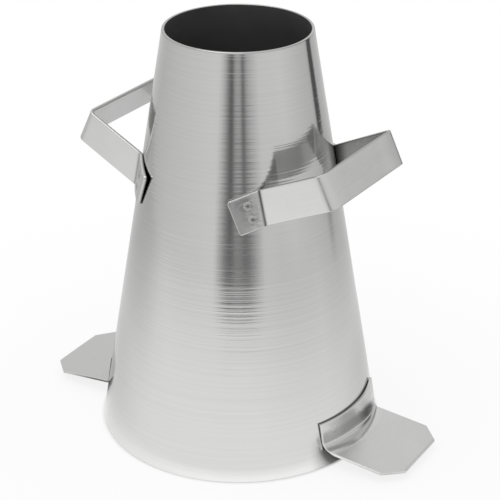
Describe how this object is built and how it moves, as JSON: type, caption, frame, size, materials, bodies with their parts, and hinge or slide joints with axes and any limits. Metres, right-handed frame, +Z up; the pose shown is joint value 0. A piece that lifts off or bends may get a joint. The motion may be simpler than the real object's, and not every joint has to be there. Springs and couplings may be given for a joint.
{
  "type": "slump cone",
  "caption": "Open steel frustum mould for the concrete slump test, with strap handles and pressed standing feet spot welded to its sides.",
  "frame": {"origin": "centre of the base opening, on the surface that the base rim stands on", "axes": "+Z up along the mould's axis, +X out over the right foot, +Y to the rear"},
  "size_m": [0.302, 0.204, 0.3],
  "materials": {
    "spun_steel": "satin spun, fine rings round the axis",
    "strap_steel": "satin rolled strip",
    "foot_steel": "satin pressed sheet",
    "weld_steel": "dimpled spot weld, slightly darkened"
  },
  "bodies": {
    "root": {"cone_shell": "spun_steel", "right_handle": "strap_steel", "left_handle": "strap_steel", "right_foot": "foot_steel", "left_foot": "foot_steel", "right_handle_front_welds": "weld_steel", "right_handle_rear_welds": "weld_steel", "left_handle_front_welds": "weld_steel", "left_handle_rear_welds": "weld_steel", "right_foot_welds": "weld_steel", "left_foot_welds": "weld_steel"}
  },
  "joints": []
}
